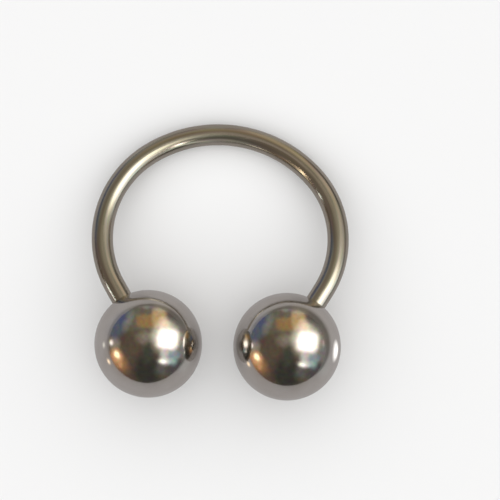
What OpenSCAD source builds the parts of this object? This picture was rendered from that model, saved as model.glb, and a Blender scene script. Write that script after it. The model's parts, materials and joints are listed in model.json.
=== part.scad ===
// Septum ring: a round steel bar bent to a horseshoe, with a plain ball screwed on each end.
// It lies as it rests by itself, on both balls and on the crown of the bar.
// Millimetres. The crown is at +Y, the balls at -Y, and +Z is up.

/* [Bar] */
// Thickness of the round bar
wire_d = 1.6; // [1.4:0.1:1.8]
// Bending radius at the crown, along the middle of the bar
crown_r = 9.6; // [9:0.1:10.4]
// Angle that the crown is bent through
crown_turn = 80.8; // [76:0.2:84]
// Bending radius of the left side
left_r = 7.6; // [7.2:0.05:8]
// Angle that the left side is bent through
left_turn = 86.8; // [85:0.1:89]
// Bending radius of the right side
right_r = 7.3; // [7:0.05:7.8]
// Angle that the right side is bent through
right_turn = 72.8; // [71:0.1:75]
// Bending radius of the last stretch before each ball, which is nearly straight
end_r = 60; // [40:5:100]
// Angle that the last stretch on each side is bent through
end_turn = 1.4; // [1:0.1:2]

/* [Balls] */
// Diameter of a ball
ball_d = 8; // [6:0.5:8]
// Width of the bevel round the mouth of the hole
mouth_bevel = 0.06; // [0.02:0.02:0.1]

/* [Screwed ends] */
// Outer diameter of the thread on the bar's end
thread_d = 1.2; // [0.9:0.05:1.3]
// Distance from one turn of the thread to the next
pitch = 0.25; // [0.2:0.05:0.3]
// Number of full turns on the post
turns = 5; // [3:1:6]
// Plain length of the post on each side of the thread
post_lead = 0.22; // [0.16:0.02:0.3]
// Depth of the round seat in the ball that takes the bar's full thickness
seat_depth = 0.25; // [0.1:0.05:0.4]
// Clearance all round the post and the bar inside the ball
play = 0.04; // [0.02:0.01:0.08]
// Clearance between the bar's shoulder and the bottom of its seat
seat_play = 0.01; // [0:0.01:0.05]

/* [Hidden] */
$fn = 96;

wire_r = wire_d / 2;
ball_r = ball_d / 2;
thread_r = thread_d / 2;

// Along a thread's axis, from the middle of the ball towards the bar.
mouth_at = sqrt(ball_r * ball_r - pow(wire_r + play, 2));
seat_at = mouth_at - seat_depth;
shoulder_at = seat_at + seat_play;
post_tip_at = shoulder_at - turns * pitch - 2 * post_lead;
bore_end_at = post_tip_at - post_lead;

// A standard V thread has these depths outside and inside for its pitch, and this flat crest.
thread_depth = 0.613 * pitch;
groove_depth = 0.541 * pitch;
crest = pitch / 8;
root_r = thread_r - thread_depth;
tip_bevel = 0.1;

// The hole in the ball, with the cone that a drill leaves at its end.
bore_r = thread_r + play;
seat_r = wire_r + play;
drill_half_angle = 59;
drill_point = bore_r / tan(drill_half_angle);

// The bar's stretches from its right end over the crown to its left end, each an arc.
stretches = [
    // radius, turn
    [end_r, end_turn],
    [right_r, right_turn],
    [crown_r, crown_turn],
    [left_r, left_turn],
    [end_r, end_turn]
];
right_side = 1;
crown = 2;
left_side = 3;
last = 4;

function radius(i) = stretches[i][0];
function turn(i) = stretches[i][1];
function direction(angle) = [cos(angle), sin(angle)];

// The middle of the crown faces straight up, and each arc runs into the next without a kink.
function start_angle(i) =
    i == crown ? 90 - turn(crown) / 2 :
    i < crown ? start_angle(i + 1) - turn(i) :
    start_angle(i - 1) + turn(i - 1);
function centre(i) =
    i == crown ? [0, 0] :
    i < crown ? centre(i + 1) + (radius(i + 1) - radius(i)) * direction(start_angle(i + 1)) :
    centre(i - 1) + (radius(i - 1) - radius(i)) * direction(start_angle(i));

// Each end is known by its sign along X: -1 for the left, 1 for the right.
function end_stretch(side) = side < 0 ? last : 0;
function end_angle(side) = side < 0 ? start_angle(last) + turn(last) : start_angle(0);
function thread_angle(side) = end_angle(side) + side * 90;
function ball_centre(side) =
    centre(end_stretch(side)) + radius(end_stretch(side)) * direction(end_angle(side))
    - shoulder_at * direction(thread_angle(side));

// In its own plane the ring is turned until the balls are level.
between_balls = ball_centre(1) - ball_centre(-1);
level_turn = -atan2(between_balls.y, between_balls.x);
function levelled(p) = [
    p.x * cos(level_turn) - p.y * sin(level_turn),
    p.x * sin(level_turn) + p.y * cos(level_turn)
];
left_edge = levelled(centre(left_side)).x - left_r - wire_r;
right_edge = levelled(centre(right_side)).x + right_r + wire_r;
balls_v = levelled(ball_centre(1)).y;

// Then the plane tilts until the crown and both balls touch the ground.
tilt = asin((ball_r - wire_r) / (crown_r - balls_v));
plane_height = wire_r + crown_r * sin(tilt);
far_edge = crown_r * cos(tilt) + wire_r;
near_edge = balls_v * cos(tilt) - ball_r;

module laid_down() {
    translate([-(left_edge + right_edge) / 2, -(far_edge + near_edge) / 2, plane_height])
        rotate([-tilt, 0, 0])
            rotate(level_turn)
                children();
}

// Moves in a coarse step and a fine one, which keeps rounding from opening a crack between two arcs.
module moved_to(p) {
    coarse = [round(p.x * 100) / 100, round(p.y * 100) / 100];
    translate(coarse)
        translate(p - coarse)
            children();
}

module stretch(i) {
    moved_to(centre(i))
        rotate_extrude(angle = turn(i), start = start_angle(i))
            translate([radius(i), 0])
                circle(d = wire_d);
}

// Places what is drawn with its thread along +Z and the middle of the ball at the origin.
module on_end(side) {
    translate(ball_centre(side))
        rotate([0, 90, thread_angle(side)])
            children();
}

// The profile of a row of thread rings between two radii, one ring for each turn of the thread.
function thread_profile(inner_r, outer_r) = [
    for (n = [0 : turns - 1], step = [
            [0, inner_r],
            [(pitch - crest) / 2, outer_r],
            [(pitch + crest) / 2, outer_r],
            [pitch, inner_r]
        ])
        if (n == 0 || step[0] > 0)
            [step[1], post_tip_at + post_lead + n * pitch + step[0]]
];

// The post is as thin as the thread's root before and after the thread, and runs a little way into the bar.
module post() {
    rotate_extrude()
        polygon(concat(
            [[0, post_tip_at], [root_r - tip_bevel, post_tip_at], [root_r, post_tip_at + tip_bevel]],
            thread_profile(root_r, thread_r),
            [[root_r, shoulder_at + post_lead], [0, shoulder_at + post_lead]]
        ));
}

module bar() {
    color([0.70, 0.66, 0.60])
        laid_down() {
            for (i = [0 : last])
                stretch(i);
            for (side = [-1, 1])
                on_end(side)
                    post();
        }
}

// The hole is drawn as one turned solid: drill point, tapped bore, seat, and bevelled mouth.
module tapped_hole() {
    rotate_extrude()
        polygon(concat(
            [[0, bore_end_at - drill_point], [bore_r, bore_end_at]],
            thread_profile(bore_r, bore_r + groove_depth),
            [[bore_r, seat_at], [seat_r, seat_at]],
            [[seat_r, mouth_at - mouth_bevel], [seat_r + 2 * mouth_bevel, mouth_at + mouth_bevel]],
            [[seat_r + 2 * mouth_bevel, ball_r + wire_r], [0, ball_r + wire_r]]
        ));
}

module ball(side) {
    color([0.78, 0.77, 0.76])
        laid_down()
            on_end(side)
                difference() {
                    sphere(r = ball_r);
                    tapped_hole();
                }
}

module ball_left() {
    ball(-1);
}

module ball_right() {
    ball(1);
}

bar();
ball_left();
ball_right();
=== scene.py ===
import json
from math import asin, atan2, cos, pi, radians, sin, sqrt, tan

import bmesh
import bpy
from mathutils import Matrix, Vector


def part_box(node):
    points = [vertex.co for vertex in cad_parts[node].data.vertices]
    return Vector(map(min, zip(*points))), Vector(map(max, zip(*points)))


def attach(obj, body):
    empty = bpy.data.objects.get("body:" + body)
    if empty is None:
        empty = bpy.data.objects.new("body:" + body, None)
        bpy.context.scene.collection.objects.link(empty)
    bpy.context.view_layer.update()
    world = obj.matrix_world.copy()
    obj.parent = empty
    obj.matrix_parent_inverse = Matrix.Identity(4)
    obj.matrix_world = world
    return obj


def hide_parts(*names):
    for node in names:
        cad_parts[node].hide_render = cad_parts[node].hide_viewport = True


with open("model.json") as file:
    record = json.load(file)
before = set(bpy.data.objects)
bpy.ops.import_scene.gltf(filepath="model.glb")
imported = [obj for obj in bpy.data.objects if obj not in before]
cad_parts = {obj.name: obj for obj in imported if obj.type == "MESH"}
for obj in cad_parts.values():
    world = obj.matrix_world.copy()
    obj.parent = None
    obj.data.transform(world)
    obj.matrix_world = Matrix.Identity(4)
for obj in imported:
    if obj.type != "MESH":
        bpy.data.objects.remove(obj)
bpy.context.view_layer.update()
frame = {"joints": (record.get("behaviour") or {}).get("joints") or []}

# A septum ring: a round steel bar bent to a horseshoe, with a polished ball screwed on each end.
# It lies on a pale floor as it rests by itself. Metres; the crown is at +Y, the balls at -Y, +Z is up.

MM = 0.001

# The bar
# The real one is a length of round surgical steel wire, bent round a former to a horseshoe. Each end is
# turned down to a thin post and threaded, and the whole bar is then polished to a warm, soft shine.

wire_radius = 0.8 * MM
crown_radius = 9.6 * MM
crown_turn = radians(80.8)
left_radius = 7.6 * MM
left_turn = radians(86.8)
right_radius = 7.3 * MM
right_turn = radians(72.8)
end_radius = 60 * MM
end_turn = radians(1.4)

# The screwed ends. The depth of a metric thread on a post is 0.613 of its pitch.
ball_radius = (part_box("ball_left")[1].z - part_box("ball_left")[0].z) / 2
pitch = 0.25 * MM
turns = 5
post_lead = 0.22 * MM
post_length = turns * pitch + 2 * post_lead
seat_depth = 0.25 * MM
play = 0.04 * MM
seat_play = 0.01 * MM
thread_radius = 0.6 * MM
thread_depth = 0.613 * pitch
root_radius = thread_radius - thread_depth
seat_radius = wire_radius + play

# Places along each thread's axis, from the middle of the ball.
mouth_at = sqrt(ball_radius ** 2 - seat_radius ** 2)
seat_at = mouth_at - seat_depth
shoulder_at = seat_at + seat_play

# The bends from the right end over the crown to the left end: radius, angle, rings of the mesh.
bends = [
    (end_radius, end_turn, 12),
    (right_radius, right_turn, 72),
    (crown_radius, crown_turn, 96),
    (left_radius, left_turn, 88),
    (end_radius, end_turn, 12),
]
right, crown, left = 1, 2, 3
last = len(bends) - 1


def direction(angle):
    return Vector((cos(angle), sin(angle), 0))


# Each bend runs into the next without a kink. The middle of the crown lies straight up in the drawing.
start_angles = {crown: pi / 2 - crown_turn / 2}
centres = {crown: Vector((0, 0, 0))}
for i in reversed(range(crown)):
    start_angles[i] = start_angles[i + 1] - bends[i][1]
    centres[i] = centres[i + 1] + (bends[i + 1][0] - bends[i][0]) * direction(start_angles[i + 1])
for i in range(crown + 1, last + 1):
    start_angles[i] = start_angles[i - 1] + bends[i - 1][1]
    centres[i] = centres[i - 1] + (bends[i - 1][0] - bends[i][0]) * direction(start_angles[i])
end_angles = {"right": start_angles[0], "left": start_angles[last] + end_turn}
bar_ends = {
    "right": centres[0] + end_radius * direction(end_angles["right"]),
    "left": centres[last] + end_radius * direction(end_angles["left"]),
}
# These point along the posts, out of the bar's ends.
outwards = {
    "right": direction(end_angles["right"] - pi / 2),
    "left": direction(end_angles["left"] + pi / 2),
}

# The bar is drawn flat. It is then turned until the balls are level, and tilted until it rests.
drawn_balls = {side: bar_ends[side] + shoulder_at * outwards[side] for side in bar_ends}
between_balls = drawn_balls["right"] - drawn_balls["left"]
level_turn = Matrix.Rotation(-atan2(between_balls.y, between_balls.x), 4, "Z")
balls_at = (level_turn @ drawn_balls["right"]).y
tilt = asin((ball_radius - wire_radius) / (crown_radius - balls_at))
left_edge = (level_turn @ centres[left]).x - left_radius - wire_radius
right_edge = (level_turn @ centres[right]).x + right_radius + wire_radius
far_edge = crown_radius * cos(tilt) + wire_radius
near_edge = balls_at * cos(tilt) - ball_radius
plane_height = wire_radius + crown_radius * sin(tilt)
laid_down = (
    Matrix.Translation((-(left_edge + right_edge) / 2, -(far_edge + near_edge) / 2, plane_height))
    @ Matrix.Rotation(-tilt, 4, "X")
    @ level_turn
)

# Points closer together than this count as one.
touching = 1e-7

# These shares of a size keep rounding errors out of a test against it.
just_under = 0.99
just_over = 1.01


def start_piece(name, add_primitive, **where):
    """Adds a primitive as a new piece and opens it in edit mode, with all of it selected."""
    bpy.ops.object.select_all(action="DESELECT")
    add_primitive(**where)
    bpy.ops.object.transform_apply(location=True, rotation=True, scale=True)
    piece = bpy.context.object
    piece.name = name
    bpy.ops.object.mode_set(mode="EDIT")
    bpy.ops.mesh.select_all(action="SELECT")
    return piece


def select_vertices(piece, wanted):
    """In edit mode, selects the vertices whose place passes the test, with the edges between them."""
    mesh = bmesh.from_edit_mesh(piece.data)
    for vertex in mesh.verts:
        vertex.select = wanted(vertex.co)
    mesh.select_flush_mode()
    bmesh.update_edit_mesh(piece.data)


def select_ring(piece, centre, axis):
    """In edit mode, selects the ring of vertices that lies round this centre, across the axis."""
    select_vertices(
        piece,
        lambda co: abs((co - centre).dot(axis)) < touching
        and (co - centre).length < wire_radius * just_over,
    )


def extrude_ring(along, scale=1.0, centre=None):
    """Extrudes the selected ring of edges along a vector, and narrows it about its new centre."""
    bpy.ops.mesh.extrude_region_move(TRANSFORM_OT_translate={"value": along})
    if scale != 1.0:
        bpy.ops.transform.resize(value=(scale, scale, scale), center_override=centre)


def thread_wave(turned, along, lead_in):
    """How far a helical V thread stands out here, from 0 at its root to 1 at its crest."""
    crest_share = 1 / 8
    phase = (along / pitch - turned / (2 * pi)) % 1.0
    flank = (1 - crest_share) / 2
    height = min(1.0, phase / flank, (1 - phase) / flank)
    run_out = min(1.0, max(0.0, lead_in / pitch))
    return height * run_out


def finish_mesh():
    """Closes seams, points every face outwards, and smooths all but the sharp edges."""
    sharp_edge = radians(32)
    bpy.ops.mesh.select_all(action="SELECT")
    bpy.ops.mesh.remove_doubles(threshold=touching)
    bpy.ops.mesh.normals_make_consistent(inside=False)
    bpy.ops.object.mode_set(mode="OBJECT")
    bpy.ops.object.shade_smooth_by_angle(angle=sharp_edge)


def note_places(piece, place_of):
    """Stores each vertex's place along and across the piece's own axis, for patterns that follow it."""
    noted = piece.data.attributes.new("along_axis", "FLOAT_VECTOR", "POINT")
    for vertex, entry in zip(piece.data.vertices, noted.data):
        entry.vector = place_of(vertex.co)


def select_alone(piece):
    bpy.ops.object.select_all(action="DESELECT")
    piece.select_set(True)
    bpy.context.view_layer.objects.active = piece


def put_down(piece, place):
    """Moves a finished piece to its place, and keeps that place in its mesh."""
    select_alone(piece)
    piece.matrix_world = place
    bpy.ops.object.transform_apply(location=True, rotation=True, scale=True)


sides_round_wire = 64
rings_per_turn = 22
thread_rings = rings_per_turn * turns
shoulder_bevel = 0.03 * MM
tip_bevel = 0.1 * MM
tip_ring_share = 0.3
plain_length = post_length - tip_bevel - shoulder_bevel

bar = start_piece(
    "bar_bent",
    bpy.ops.mesh.primitive_circle_add,
    vertices=sides_round_wire,
    radius=wire_radius,
    location=bar_ends["right"],
    rotation=(pi / 2, 0, end_angles["right"]),
)
for i, (radius, turn, rings) in enumerate(bends):
    bpy.ops.mesh.spin(steps=rings, angle=-turn, center=centres[i], axis=(0, 0, 1))

# Each end gets its bevelled shoulder, the plain post with the rings for its thread, and the bevelled tip.
for side, outward in outwards.items():
    end = bar_ends[side]
    select_ring(bar, end, outward)
    shoulder = end + shoulder_bevel * outward
    extrude_ring(shoulder_bevel * outward, 1 - shoulder_bevel / wire_radius, shoulder)
    extrude_ring((0, 0, 0), root_radius / (wire_radius - shoulder_bevel), shoulder)
    extrude_ring(plain_length * outward)
    select_vertices(
        bar,
        lambda co: (co - end).dot(outward) > shoulder_bevel / 2
        and (co - end).cross(outward).length < root_radius * just_over,
    )
    mesh = bmesh.from_edit_mesh(bar.data)
    for edge in mesh.edges:
        edge.select = edge.select and edge.calc_length() > plain_length / 2
    bmesh.update_edit_mesh(bar.data)
    bpy.ops.mesh.subdivide(number_cuts=thread_rings)
    bevel_start = shoulder + plain_length * outward
    tip = bevel_start + tip_bevel * outward
    select_ring(bar, bevel_start, outward)
    extrude_ring(tip_bevel * outward, 1 - tip_bevel / root_radius, tip)
    extrude_ring((0, 0, 0), tip_ring_share, tip)
    bpy.ops.mesh.merge(type="CENTER")

# The thread is drawn out of the plain posts.
up = Vector((0, 0, 1))
bar_mesh = bmesh.from_edit_mesh(bar.data)
for side, outward in outwards.items():
    end = bar_ends[side]
    sideways = outward.cross(up)
    for vertex in bar_mesh.verts:
        along = (vertex.co - end).dot(outward)
        from_axis = vertex.co - end - along * outward
        on_post = root_radius * just_under < from_axis.length < wire_radius
        if along < shoulder_bevel * just_over or not on_post:
            continue
        lead_in = min(along - post_lead, turns * pitch + post_lead - along)
        turned = atan2(from_axis.dot(up), from_axis.dot(sideways))
        out = thread_depth * thread_wave(turned, along, lead_in)
        vertex.co += from_axis.normalized() * out
bmesh.update_edit_mesh(bar.data)
finish_mesh()

# A place may lie this far past the end of a bend, in radians, and still count as part of it.
bend_lengths = [radius * turn for radius, turn, rings in bends]
angle_slack = 1e-4


def before_bending(place):
    """Where a point of the bar lay in the straight wire: along it from its right end, across it, and up."""
    for side, outward in outwards.items():
        arm = place - bar_ends[side]
        past_end = arm.dot(outward)
        if past_end > 0 and arm.length < post_length + wire_radius:
            along = -past_end if side == "right" else sum(bend_lengths) + past_end
            across = arm.dot(direction(end_angles[side]))
            return Vector((along, across, place.z))
    for i, (radius, turn, rings) in enumerate(bends):
        arm = Vector((place.x, place.y, 0)) - centres[i]
        turned = (atan2(arm.y, arm.x) - start_angles[i] + pi) % (2 * pi) - pi
        across = arm.length - radius
        if -angle_slack < turned < turn + angle_slack and abs(across) < wire_radius * just_over:
            return Vector((sum(bend_lengths[:i]) + radius * turned, across, place.z))
    raise ValueError(f"no bend holds the point {place}")


note_places(bar, before_bending)


def add_node(tree, kind, inputs=None, **settings):
    """Adds a node, with its settings, and with a value or a link for each socket that is named."""
    node = tree.nodes.new(kind)
    for name, value in settings.items():
        setattr(node, name, value)
    for socket, value in (inputs or {}).items():
        if isinstance(value, bpy.types.NodeSocket):
            tree.links.new(value, node.inputs[socket])
        else:
            node.inputs[socket].default_value = value
    return node


def start_metal(name):
    """A new metal, with its node tree and its shader."""
    metal = bpy.data.materials.new(name)
    metal.use_nodes = True
    shader = metal.node_tree.nodes["Principled BSDF"]
    shader.inputs["Metallic"].default_value = 1
    return metal, metal.node_tree, shader


def calculate(tree, operation, *values):
    """A sum or another operation on sockets or plain numbers."""
    return add_node(tree, "ShaderNodeMath", dict(enumerate(values)), operation=operation).outputs[0]


def sum_of(tree, *values):
    total = values[0]
    for value in values[1:]:
        total = calculate(tree, "ADD", total, value)
    return total


def noise(tree, place, stretch=(1, 1, 1), turn=(0, 0, 0), scale=1, detail=2.0):
    """Noise from 0 to 1 at a place in metres, with grains of about a millimetre before it is stretched."""
    per_metre = [share / MM for share in stretch]
    placed = add_node(
        tree, "ShaderNodeMapping", {"Vector": place, "Rotation": turn, "Scale": per_metre}
    )
    grains = {"Vector": placed.outputs["Vector"], "Scale": scale, "Detail": detail}
    return add_node(tree, "ShaderNodeTexNoise", grains).outputs[0]


def spread(tree, value, given, wanted):
    """Takes a value from the given range to the wanted one, and holds it at the ends of that."""
    ends = {
        "Value": value,
        "From Min": given[0],
        "From Max": given[1],
        "To Min": wanted[0],
        "To Max": wanted[1],
    }
    return add_node(tree, "ShaderNodeMapRange", ends).outputs["Result"]


def hairlines(tree, place, stretch, turn, thinness):
    """Fine scratches that come and go, 1 on a line and 0 beside it, where a drawn-out noise is halfway."""
    drawn_out = noise(tree, place, stretch, turn, detail=0)
    off_line = calculate(tree, "ABSOLUTE", calculate(tree, "SUBTRACT", drawn_out, 0.5))
    lines = spread(tree, off_line, (0, thinness), (1, 0))
    scuffed = noise(tree, place, (0.4, 1.1, 1.1), turn, detail=1)
    shown = spread(tree, scuffed, (0.5, 0.62), (0, 1))
    return calculate(tree, "MULTIPLY", lines, shown)


def blend_colours(tree, share, first, second):
    """From the first colour at share 0 to the second at share 1. Each is a socket or three numbers."""
    ends = [(*colour, 1) if isinstance(colour, tuple) else colour for colour in (first, second)]
    mixed = add_node(tree, "ShaderNodeMix", {0: share, 6: ends[0], 7: ends[1]}, data_type="RGBA")
    return mixed.outputs[2]


def give_bump(tree, shader, height, depth):
    """Lets a height from 0 to 1 shade the surface as if it were that deep."""
    bump = add_node(tree, "ShaderNodeBump", {"Height": height, "Distance": depth, "Strength": 1.0})
    tree.links.new(bump.outputs["Normal"], shader.inputs["Normal"])


def satin_bar_steel():
    """Warm steel with the fine marks of drawing and polishing, which run along the wire."""
    metal, tree, shader = start_metal("satin_bar_steel")
    place = add_node(tree, "ShaderNodeAttribute", attribute_name="along_axis").outputs["Vector"]
    clouds = noise(tree, place, stretch=(0.35, 0.8, 0.8), detail=3)
    draw_marks = noise(tree, place, stretch=(0.22, 7, 7), detail=3)
    fine_marks = noise(tree, place, stretch=(0.3, 26, 26), detail=1)
    scratches = sum_of(tree, *[
        hairlines(tree, place, (0.10, 2.6, 2.6), (0, 0, radians(slant)), 0.010) for slant in (7, -12)
    ])
    tint = spread(tree, sum_of(tree, clouds, draw_marks), (0.8, 1.2), (0, 1))
    colour = blend_colours(tree, tint, (0.42, 0.39, 0.33), (0.48, 0.445, 0.39))
    tree.links.new(colour, shader.inputs["Base Color"])
    dulling = sum_of(
        tree,
        spread(tree, draw_marks, (0.35, 0.65), (0.115, 0.15)),
        spread(tree, clouds, (0.35, 0.65), (0, 0.04)),
        spread(tree, scratches, (0, 1), (0, 0.08)),
    )
    tree.links.new(dulling, shader.inputs["Roughness"])
    relief = sum_of(
        tree,
        fine_marks,
        spread(tree, draw_marks, (0, 1), (0, 0.6)),
        spread(tree, scratches, (0, 1), (0, -0.2)),
    )
    give_bump(tree, shader, relief, depth=0.004 * MM)
    return metal


def cut_steel():
    """The bare steel of threads and bores, with the fine rings that a tool leaves round the axis."""
    metal, tree, shader = start_metal("cut_steel")
    place = add_node(tree, "ShaderNodeAttribute", attribute_name="along_axis").outputs["Vector"]
    tool_rings = noise(tree, place, stretch=(30, 0.6, 0.6), detail=2)
    stains = noise(tree, place, scale=2.2, detail=3)
    tint = spread(tree, stains, (0.35, 0.7), (0, 1))
    colour = blend_colours(tree, tint, (0.52, 0.50, 0.46), (0.36, 0.33, 0.29))
    tree.links.new(colour, shader.inputs["Base Color"])
    tree.links.new(spread(tree, tool_rings, (0.3, 0.7), (0.26, 0.42)), shader.inputs["Roughness"])
    give_bump(tree, shader, tool_rings, depth=0.002 * MM)
    return metal


threads_steel = cut_steel()


def use_metals(piece, metal, is_cut):
    """Gives the piece its metal, and cut steel on the faces whose middle passes the test."""
    piece.data.materials.append(metal)
    piece.data.materials.append(threads_steel)
    for face in piece.data.polygons:
        if is_cut(face.center):
            face.material_index = 1


use_metals(
    bar,
    satin_bar_steel(),
    lambda middle: any(
        (middle - bar_ends[side]).dot(outward) > shoulder_bevel * just_under
        and (middle - bar_ends[side]).length < post_length + wire_radius
        for side, outward in outwards.items()
    ),
)
put_down(bar, laid_down)

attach(bar, "bar")
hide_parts("bar")

# The balls
# Each is turned from solid surgical steel, drilled and tapped from one side, with a round seat at the
# mouth that takes the bar's full thickness. It is tumbled to a mirror, and screws onto the bar's post.

# The depth of a metric thread in a hole is 0.541 of its pitch. The drill's point is 118 degrees wide.
mouth_bevel = 0.06 * MM
bore_radius = thread_radius + play
groove_depth = 0.541 * pitch
bore_end_at = shoulder_at - post_length - post_lead
drill_point = bore_radius / tan(radians(118 / 2))
steps_round_ball = 192
steps_down_ball = 224

ball = start_piece(
    "ball_left_polished",
    bpy.ops.mesh.primitive_circle_add,
    vertices=steps_down_ball,
    radius=ball_radius,
    location=(0, 0, 0),
    rotation=(pi / 2, 0, 0),
)
mouth_radius = seat_radius + mouth_bevel
mouth_edge_at = sqrt(ball_radius ** 2 - mouth_radius ** 2)
# The circle is cut to half the ball's outline, from its lower pole up to the mouth of the hole.
bpy.ops.mesh.bisect(
    plane_co=(0, 0, mouth_edge_at), plane_no=(0, 0, 1), clear_outer=True, threshold=touching / 10
)
bpy.ops.mesh.select_all(action="SELECT")
bpy.ops.mesh.bisect(
    plane_co=(0, 0, 0), plane_no=(1, 0, 0), clear_inner=True, threshold=touching / 10
)
select_vertices(ball, lambda co: co.z > mouth_edge_at - touching)
for vertex in bmesh.from_edit_mesh(ball.data).verts:
    if vertex.select:
        vertex.co = (mouth_radius, 0, mouth_edge_at)
bmesh.update_edit_mesh(ball.data)
# The hole's outline, from the mouth's edge to the drill's point: distance from the axis, and height.
hole = [
    (mouth_radius, mouth_edge_at),
    (seat_radius, mouth_edge_at - mouth_bevel),
    (seat_radius, seat_at),
    (bore_radius, seat_at),
    (bore_radius, bore_end_at),
    (0, bore_end_at - drill_point),
]
for start, end in zip(hole, hole[1:]):
    step = (end[0] - start[0], 0, end[1] - start[1])
    bpy.ops.mesh.extrude_vertices_move(TRANSFORM_OT_translate={"value": step})
select_vertices(ball, lambda co: abs(co.x - bore_radius) < touching)
bpy.ops.mesh.subdivide(number_cuts=thread_rings)
bpy.ops.mesh.select_all(action="SELECT")
bpy.ops.mesh.spin(steps=steps_round_ball, angle=2 * pi, center=(0, 0, 0), axis=(0, 0, 1))
ball_mesh = bmesh.from_edit_mesh(ball.data)
for vertex in ball_mesh.verts:
    from_axis = Vector((vertex.co.x, vertex.co.y, 0))
    if abs(from_axis.length - bore_radius) > touching:
        continue
    lead_in = min(seat_at - vertex.co.z, vertex.co.z - bore_end_at - post_lead)
    turned = atan2(vertex.co.y, vertex.co.x)
    out = groove_depth * thread_wave(turned, vertex.co.z, lead_in)
    vertex.co += from_axis.normalized() * out
bmesh.update_edit_mesh(ball.data)
finish_mesh()
note_places(ball, lambda co: Vector((co.z, co.x, co.y)))


def mirror_ball_steel():
    """Steel tumbled bright, with a faint haze, soft waves and hairline scratches in several directions."""
    metal, tree, shader = start_metal("mirror_ball_steel")
    place = add_node(tree, "ShaderNodeTexCoord").outputs["Object"]
    haze = noise(tree, place, scale=0.55, detail=4)
    waves = noise(tree, place, scale=0.9, detail=1)
    grain = noise(tree, place, scale=14, detail=3)
    scratches = sum_of(tree, *[
        hairlines(tree, place, (0.08, 1.7, 1.7), turn, 0.006)
        for turn in ((0.3, 0.2, 0.6), (1.2, -0.4, 2.0), (-0.7, 1.1, -0.9))
    ])
    tint = spread(tree, haze, (0.35, 0.7), (0, 1))
    colour = blend_colours(tree, tint, (0.62, 0.60, 0.575), (0.57, 0.545, 0.515))
    tree.links.new(colour, shader.inputs["Base Color"])
    dulling = sum_of(
        tree,
        spread(tree, haze, (0.35, 0.7), (0.09, 0.12)),
        spread(tree, grain, (0.3, 0.7), (0, 0.03)),
        spread(tree, scratches, (0, 1), (0, 0.10)),
    )
    tree.links.new(dulling, shader.inputs["Roughness"])
    relief = sum_of(
        tree,
        waves,
        spread(tree, grain, (0, 1), (0, 0.04)),
        spread(tree, scratches, (0, 1), (0, -0.15)),
    )
    give_bump(tree, shader, relief, depth=0.003 * MM)
    return metal


use_metals(
    ball,
    mirror_ball_steel(),
    lambda middle: middle.z > 0
    and middle.xy.length < seat_radius * just_over
    and middle.length < ball_radius * just_under,
)

select_alone(ball)
bpy.ops.object.duplicate(linked=False)
second_ball = bpy.context.object
second_ball.name = "ball_right_polished"

# The mouth of each hole faces the bar, against the way in which its ball unscrews.
balls = {"ball_left": ball, "ball_right": second_ball}
unscrew_axes = {joint["child"]: Vector(joint["axis"]) for joint in frame["joints"]}
for node, piece in balls.items():
    low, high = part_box(node)
    towards_bar = -unscrew_axes[node]
    facing_bar = towards_bar.to_track_quat("Z", "Y").to_matrix().to_4x4()
    put_down(piece, Matrix.Translation((low + high) / 2) @ facing_bar)
    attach(piece, node)
    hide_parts(node)

# The floor
# A plain pale sheet with a slight gloss, wide enough that its edge never shows. In the steel's mirror it
# has
# painted shade: darker than it looks, as grey cards held round the object would make it, and darker still
# far off on two sides.

floor_radius = 1.2
steps_round_floor = 96
floor_roughness = 0.3
floor_colour = (0.82, 0.82, 0.82)
# Painted shade: the colours in which only the steel's mirror sees the sheet, near and far off.
mirrored_painted_shade_colour = (0.25, 0.238, 0.236)
far_painted_shade_colour = (0.07, 0.065, 0.06)
# Painted light: how strongly the sheet glows in the steel's mirror, though it is no lamp.
painted_mirror_glow = 0.78

bpy.ops.object.select_all(action="DESELECT")
bpy.ops.mesh.primitive_circle_add(
    vertices=steps_round_floor, radius=floor_radius, fill_type="NGON", location=(0, 0, 0)
)
floor_disc = bpy.context.object
floor_disc.name = "floor"
floor_paint = bpy.data.materials.new("floor_paint")
floor_paint.use_nodes = True
floor_tree = floor_paint.node_tree
floor_shader = floor_tree.nodes["Principled BSDF"]
floor_shader.inputs["Roughness"].default_value = floor_roughness
floor_place = add_node(floor_tree, "ShaderNodeTexCoord").outputs["Object"]


def vector_math(tree, operation, first, second=None):
    """A vector operation on sockets or plain vectors."""
    inputs = {0: first} if second is None else {0: first, 1: second}
    made = add_node(tree, "ShaderNodeVectorMath", inputs, operation=operation)
    gives_number = operation in ("LENGTH", "DISTANCE", "DOT_PRODUCT")
    return made.outputs["Value" if gives_number else "Vector"]


def darker_towards(heading, starts_at, full_at, full_share):
    """The share of the darker shade on the floor, which grows with the distance in this direction."""
    far_off = vector_math(floor_tree, "DOT_PRODUCT", floor_place, heading)
    return spread(floor_tree, far_off, (starts_at, full_at), (0, full_share))


# Painted shade: the sheet seen in the mirror grows darker far off on two sides.
far_painted_shade_share = sum_of(
    floor_tree,
    darker_towards((0.8, 0.6, 0), 16 * MM, 32 * MM, 1),
    darker_towards((-0.7, 0.7, 0), 36 * MM, 54 * MM, 0.5),
)
# Only the steel's mirror sees the painted shade; the camera sees the plain pale sheet.
mirrored_painted_shade = blend_colours(floor_tree, far_painted_shade_share, mirrored_painted_shade_colour, far_painted_shade_colour)
in_mirror = add_node(floor_tree, "ShaderNodeLightPath").outputs["Is Glossy Ray"]
floor_tint = blend_colours(floor_tree, in_mirror, floor_colour, mirrored_painted_shade)
floor_tree.links.new(floor_tint, floor_shader.inputs["Base Color"])
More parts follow.
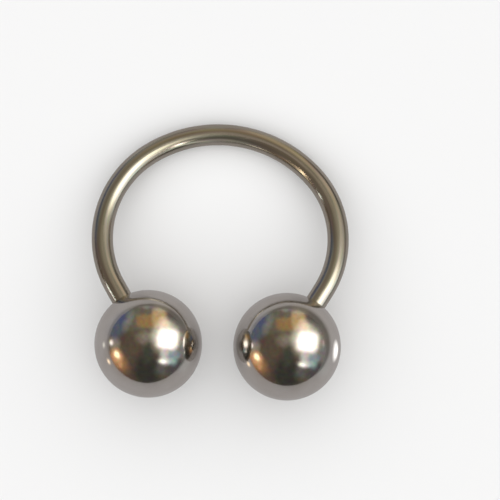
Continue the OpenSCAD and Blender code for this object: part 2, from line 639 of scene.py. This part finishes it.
# Painted light: the sheet glows in the steel's mirror though it is no lamp, so that the shadows on it stay
# faint in the steel.
glow = spread(floor_tree, in_mirror, (0, 1), (0, painted_mirror_glow))
floor_tree.links.new(mirrored_painted_shade, floor_shader.inputs["Emission Color"])
floor_tree.links.new(glow, floor_shader.inputs["Emission Strength"])
floor_disc.data.materials.append(floor_paint)

# The room
# The steel shows a dim room of soft tinted patches. Each is placed by where it shows on a ball seen from
# straight above, in ball radii from the ball's middle: +X is right, +Y is away, and 0.71 is the horizon.


def place_on_ball(tree, towards):
    """Where a ball seen from straight above mirrors what lies in this direction."""
    direction_out = vector_math(tree, "NORMALIZE", towards)
    facing = vector_math(tree, "NORMALIZE", vector_math(tree, "ADD", direction_out, (0, 0, 1)))
    return vector_math(tree, "MULTIPLY", facing, (1, 1, 0))


def grains_round(tree, on_ball, scale, low, high):
    """A random vector for each place on the ball, with values that spread about evenly from low to high."""
    grains = add_node(tree, "ShaderNodeTexNoise", {"Vector": on_ball, "Scale": scale, "Detail": 4.0})
    reach = 2 * (high - low)
    stretched = vector_math(tree, "MULTIPLY", grains.outputs["Color"], (reach, reach, reach))
    start = (low + high - reach) / 2
    return vector_math(tree, "ADD", stretched, (start, start, start))


def ragged(tree, on_ball, scale, most):
    """Shifts each place a little, so that patches get uneven edges, as the things in a real room have."""
    return vector_math(tree, "ADD", on_ball, grains_round(tree, on_ball, scale, -most, most))


def mottled(tree, light, on_ball, scale, most):
    """Makes the light a little stronger and weaker from place to place."""
    return vector_math(tree, "MULTIPLY", light, grains_round(tree, on_ball, scale, 1 - most, 1 + most))


def patch(tree, on_ball, under, name, middle, half_size, turn, edge, square, colour):
    """Lays a soft-edged oval, or a rounded square, of light over what is under it."""
    placed = add_node(
        tree,
        "ShaderNodeMapping",
        {
            "Vector": on_ball,
            "Location": (*middle, 0),
            "Rotation": (0, 0, radians(turn)),
            "Scale": (*half_size, 1),
        },
        vector_type="TEXTURE",
        label=name,
    )
    place = vector_math(tree, "MULTIPLY", placed.outputs["Vector"], (1, 1, 0))
    if square:
        squared = vector_math(tree, "LENGTH", vector_math(tree, "MULTIPLY", place, place))
        reach = calculate(tree, "SQRT", squared)
    else:
        reach = vector_math(tree, "LENGTH", place)
    share = add_node(
        tree,
        "ShaderNodeMapRange",
        {"Value": reach, "From Min": 1 + edge, "From Max": 1 - edge},
        interpolation_type="SMOOTHSTEP",
    )
    return blend_colours(tree, share.outputs["Result"], under, colour)


# The room lights nothing by itself. It only shows in the gloss of the steel and the floor.
world = bpy.data.worlds.new("studio")
bpy.context.scene.world = world
world.use_nodes = True
world.cycles_visibility.diffuse = False
sky = world.node_tree
sky.nodes.clear()
clear_place = place_on_ball(sky, add_node(sky, "ShaderNodeTexCoord").outputs["Generated"])
sky_place = ragged(sky, clear_place, scale=9, most=0.03)
# The room's own warm dusk lies under all its patches. Each row is laid over those above it.
room_light = (0.14, 0.102, 0.076)
for row in [
    # name, middle, half size, turn, edge, square, colour
    ("back wall", (0.0, 0.50), (0.50, 0.22), 0, 0.35, True, (0.20, 0.185, 0.14)),
    ("cool side", (-0.54, 0.38), (0.15, 0.30), -28, 0.35, True, (0.13, 0.15, 0.20)),
    ("blue", (-0.50, 0.48), (0.08, 0.13), -25, 0.6, False, (0.105, 0.13, 0.235)),
    ("pale strip", (-0.37, 0.42), (0.06, 0.17), -20, 0.7, False, (0.29, 0.30, 0.26)),
    ("gold", (0.02, 0.43), (0.24, 0.12), 0, 0.35, True, (0.27, 0.22, 0.115)),
    ("gold bright", (0.20, 0.50), (0.13, 0.15), 0, 0.35, True, (0.51, 0.40, 0.25)),
    ("pale top", (-0.04, 0.70), (0.15, 0.035), 0, 0.6, False, (0.36, 0.335, 0.30)),
    ("pale cap", (0.20, 0.65), (0.11, 0.04), -5, 0.6, False, (0.58, 0.55, 0.44)),
    ("grey front", (0.03, 0.12), (0.19, 0.11), -10, 0.8, False, (0.39, 0.335, 0.265)),
    ("dark flag", (0.0, -0.50), (0.24, 0.34), 0, 0.40, False, (0.055, 0.055, 0.045)),
    ("dark neck", (0.02, -0.14), (0.09, 0.22), -8, 0.6, False, (0.08, 0.085, 0.065)),
    ("dark foot", (0.50, -0.45), (0.18, 0.12), 40, 0.5, False, (0.11, 0.10, 0.10)),
    ("grey foot", (0.26, -0.46), (0.10, 0.10), 0, 0.7, False, (0.16, 0.16, 0.15)),
    ("halo", (0.37, 0.15), (0.26, 0.28), 0, 0.5, False, (0.48, 0.45, 0.38)),
    ("halo up", (0.31, 0.36), (0.09, 0.14), 12, 0.6, False, (0.70, 0.61, 0.46)),
    ("dark side", (0.57, 0.46), (0.12, 0.28), 40, 0.5, False, (0.14, 0.13, 0.12)),
    ("grey side", (0.68, -0.11), (0.09, 0.18), 0, 0.6, False, (0.27, 0.27, 0.25)),
    ("cool panel", (0.46, -0.22), (0.12, 0.12), -35, 0.5, True, (0.36, 0.49, 0.51)),
    ("cool foot", (0.40, -0.29), (0.08, 0.055), -20, 0.6, False, (0.60, 0.72, 0.71)),
    ("spot tail", (0.32, -0.17), (0.07, 0.15), 0, 0.7, False, (0.85, 0.82, 0.76)),
]:
    room_light = patch(sky, sky_place, room_light, *row)

mottled_light = mottled(sky, room_light, clear_place, scale=15, most=0.3)
lit = add_node(sky, "ShaderNodeBackground", {"Color": mottled_light})
# The camera itself sees a plain pale backdrop past the floor.
plain = add_node(sky, "ShaderNodeBackground", {"Color": (0.85, 0.85, 0.85, 1)})
seen_by_camera = add_node(sky, "ShaderNodeLightPath").outputs["Is Camera Ray"]
chosen = add_node(
    sky, "ShaderNodeMixShader", {0: seen_by_camera, 1: lit.outputs[0], 2: plain.outputs[0]}
)
add_node(sky, "ShaderNodeOutputWorld", {"Surface": chosen.outputs[0]})
bpy.context.scene.view_settings.view_transform = "Standard"

# The lamps
# A wide soft light overhead lights the floor alone. The bright patches that the steel shows, such as the
# window, are flat lamps shaded by the same picture on a ball, and each lights only what it is hung for.

lamp_distance = 0.5
fill_height = 0.8
fill_size = 4.0
fill_brightness = 1.36


def hang_lamp(name, size, location, target):
    """Hangs a round lamp facing its target; at its energy the shade of its nodes is its brightness."""
    lamp_data = bpy.data.lights.new(name, "AREA")
    lamp_data.shape = "DISK"
    lamp_data.size = size
    lamp_data.energy = pi * pi * (size / 2) ** 2
    lamp_data.use_nodes = True
    lamp = bpy.data.objects.new(name, lamp_data)
    bpy.context.scene.collection.objects.link(lamp)
    lamp.location = location
    lamp.rotation_euler = (Vector(location) - Vector(target)).to_track_quat("Z", "Y").to_euler()
    lamp.visible_camera = False
    return lamp


def light_only(lamp, lit_pieces):
    """Keeps the lamp to the gloss of these pieces."""
    linked = bpy.data.collections.new(f"lit_by_{lamp.name}")
    for piece in lit_pieces:
        linked.objects.link(piece)
    lamp.light_linking.receiver_collection = linked
    lamp.visible_diffuse = False


def show_patches(name, middle, reach, lit_pieces, rows):
    """Hangs a lamp that shows its patches of light to these pieces, round this place on a ball."""
    # A slope on a mirror turns what it shows by twice as much, so the lamp spans twice the reach.
    facing = Vector((*middle, sqrt(1 - middle[0] ** 2 - middle[1] ** 2)))
    towards = 2 * facing.z * facing - Vector((0, 0, 1))
    size = 2 * lamp_distance * tan(2 * reach / facing.z)
    lamp = hang_lamp(name, size, lamp_distance * towards, (0, 0, 0))
    light_only(lamp, lit_pieces)
    tree = lamp.data.node_tree
    on_ball = place_on_ball(tree, add_node(tree, "ShaderNodeNewGeometry").outputs["Position"])
    on_ball = ragged(tree, on_ball, scale=6, most=0.015)
    shade = (0, 0, 0)
    for row in rows:
        shade = patch(tree, on_ball, shade, *row)
    shade = mottled(tree, shade, on_ball, scale=22, most=0.35)
    tree.links.new(shade, tree.nodes["Emission"].inputs["Color"])


fill = hang_lamp("overhead_fill", fill_size, (0, 0, fill_height), (0, 0, 0))
fill.visible_glossy = False
fill.data.energy *= fill_brightness

# The rows have the same columns as those of the room.
both_balls = tuple(balls.values())
show_patches("window", (0.37, 0.14), 0.36, both_balls, [
    ("halo", (0.37, 0.15), (0.26, 0.28), 0, 0.5, False, (0.27, 0.25, 0.20)),
    ("halo up", (0.31, 0.36), (0.09, 0.14), 12, 0.6, False, (0.52, 0.43, 0.32)),
    ("top", (0.32, 0.17), (0.19, 0.19), 0, 0.6, False, (0.85, 0.80, 0.70)),
    ("pane", (0.37, 0.10), (0.16, 0.15), -8, 0.55, True, (3.2, 3.1, 2.9)),
])
show_patches("warm_panels", (0.10, 0.46), 0.26, both_balls, [
    ("gold", (0.02, 0.43), (0.24, 0.12), 0, 0.35, True, (0.15, 0.05, 0.0)),
    ("gold bright", (0.20, 0.50), (0.13, 0.15), 0, 0.35, True, (0.22, 0.10, 0.0)),
])
show_patches("spot", (0.29, -0.32), 0.13, both_balls, [
    ("spot glow", (0.30, -0.305), (0.10, 0.055), -12, 0.7, False, (0.45, 0.45, 0.42)),
    ("spot", (0.275, -0.305), (0.06, 0.035), -12, 0.6, False, (1.9, 1.9, 1.75)),
])
show_patches("sliver", (0.66, 0.07), 0.09, (second_ball,), [
    ("sliver", (0.66, 0.06), (0.02, 0.06), 0, 0.5, False, (0.3, 0.3, 0.28)),
])
show_patches("lamp", (-0.53, -0.28), 0.26, both_balls, [
    ("glow", (-0.51, -0.33), (0.11, 0.18), 38, 0.7, False, (0.38, 0.17, 0.05)),
    ("bright", (-0.55, -0.22), (0.09, 0.12), 28, 0.6, False, (0.88, 0.47, 0.21)),
    ("low glow", (-0.475, -0.38), (0.035, 0.05), 20, 0.6, False, (0.78, 0.38, 0.16)),
    ("core", (-0.545, -0.20), (0.04, 0.06), 30, 0.5, False, (2.8, 2.3, 1.45)),
])
show_patches("small_lamp", (-0.62, 0.0), 0.13, both_balls, [
    ("small glow", (-0.61, -0.01), (0.10, 0.09), 0, 0.8, False, (0.26, 0.23, 0.20)),
    ("small lamp", (-0.66, 0.005), (0.032, 0.04), 20, 0.6, False, (1.8, 1.7, 1.6)),
])
show_patches("bar_sky", (0, 0), 0.62, (bar,), [
    ("sky", (0.0, 0.0), (0.58, 0.58), 0, 0.2, False, (0.075, 0.07, 0.065)),
])
show_patches("bar_back", (-0.04, 0.57), 0.26, (bar,), [
    ("back", (-0.06, 0.60), (0.26, 0.14), 0, 0.6, False, (0.16, 0.15, 0.16)),
])
show_patches("bar_front", (0.08, -0.58), 0.28, (bar,), [
    ("front", (0.08, -0.58), (0.32, 0.18), 0, 0.6, False, (0.30, 0.30, 0.28)),
])
show_patches("bar_front_right", (0.33, -0.52), 0.26, (bar,), [
    ("front right", (0.29, -0.55), (0.18, 0.12), 20, 0.7, False, (0.80, 0.86, 0.84)),
])
show_patches("bar_streak", (0.34, -0.04), 0.36, (bar,), [
    ("streak glow", (0.29, -0.07), (0.23, 0.24), 10, 0.6, False, (0.50, 0.48, 0.42)),
    ("streak wing", (0.58, -0.18), (0.14, 0.20), 12, 0.7, False, (1.1, 1.15, 1.15)),
    ("streak", (0.28, -0.03), (0.20, 0.12), -20, 0.6, False, (3.0, 2.95, 2.6)),
])
show_patches("bar_glint", (0.17, -0.33), 0.12, (bar,), [
    ("glint", (0.17, -0.33), (0.018, 0.08), 23, 0.5, False, (6.5, 6.5, 5.6)),
])
show_patches("bar_warm_glint", (-0.45, -0.35), 0.26, (bar,), [
    ("warm glow", (-0.50, -0.40), (0.14, 0.11), 40, 0.7, False, (0.58, 0.47, 0.34)),
    ("warm glint", (-0.42, -0.275), (0.010, 0.10), -41, 0.5, False, (6.3, 6.0, 3.7)),
])
show_patches("bar_far_glint", (-0.585, -0.175), 0.10, (bar,), [
    ("far glint", (-0.585, -0.175), (0.013, 0.045), -57, 0.5, False, (5.0, 5.2, 4.9)),
])

# Where the floor mirrors a lamp towards a ball, it gleams softly. The places count from the ball's middle.
for node, name, size, away, colour in [
    # ball, name, size and place in millimetres, colour
    ("ball_right", "floor_gleam", 4.2, (8.3, -0.65, -2.2), (2.6, 2.6, 2.6)),
    ("ball_right", "warm_gleam_right", 2.6, (-13.4, -6.4, -0.1), (2.0, 1.5, 0.9)),
    ("ball_left", "warm_gleam_left", 2.6, (-13.4, -6.4, -0.1), (2.2, 1.7, 1.1)),
    ("ball_left", "cool_gleam_left", 2.6, (-14.6, -0.7, -1.2), (0.9, 0.9, 0.8)),
]:
    middle = sum(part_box(node), Vector()) / 2
    gleam = hang_lamp(name, size * MM, middle + Vector(away) * MM, middle)
    light_only(gleam, (balls[node],))
    tree = gleam.data.node_tree
    place = add_node(tree, "ShaderNodeNewGeometry").outputs["Position"]
    off_middle = vector_math(tree, "DISTANCE", place, gleam.location)
    emission = tree.nodes["Emission"]
    emission.inputs["Color"].default_value = (*colour, 1)
    strength = spread(tree, off_middle, (0, size / 2 * MM), (1, 0))
    tree.links.new(strength, emission.inputs["Strength"])

# The camera
# It looks straight down from a hand's length above, as the photograph was taken. The ring lies a little
# to the left in the picture, and is turned by a degree.

camera_height = 180 * MM
camera_turn = radians(1.18)
view_width = 38.02 * MM
camera_data = bpy.data.cameras.new("camera")
camera = bpy.data.objects.new("camera", camera_data)
bpy.context.scene.collection.objects.link(camera)
camera.location = (2.25 * MM, 0.826 * MM, camera_height)
camera.rotation_euler = (0, 0, camera_turn)
camera_data.sensor_width = 36
camera_data.lens = camera_data.sensor_width * camera_height / view_width
camera_data.clip_start = 10 * MM
camera_data.clip_end = 10
bpy.context.scene.camera = camera
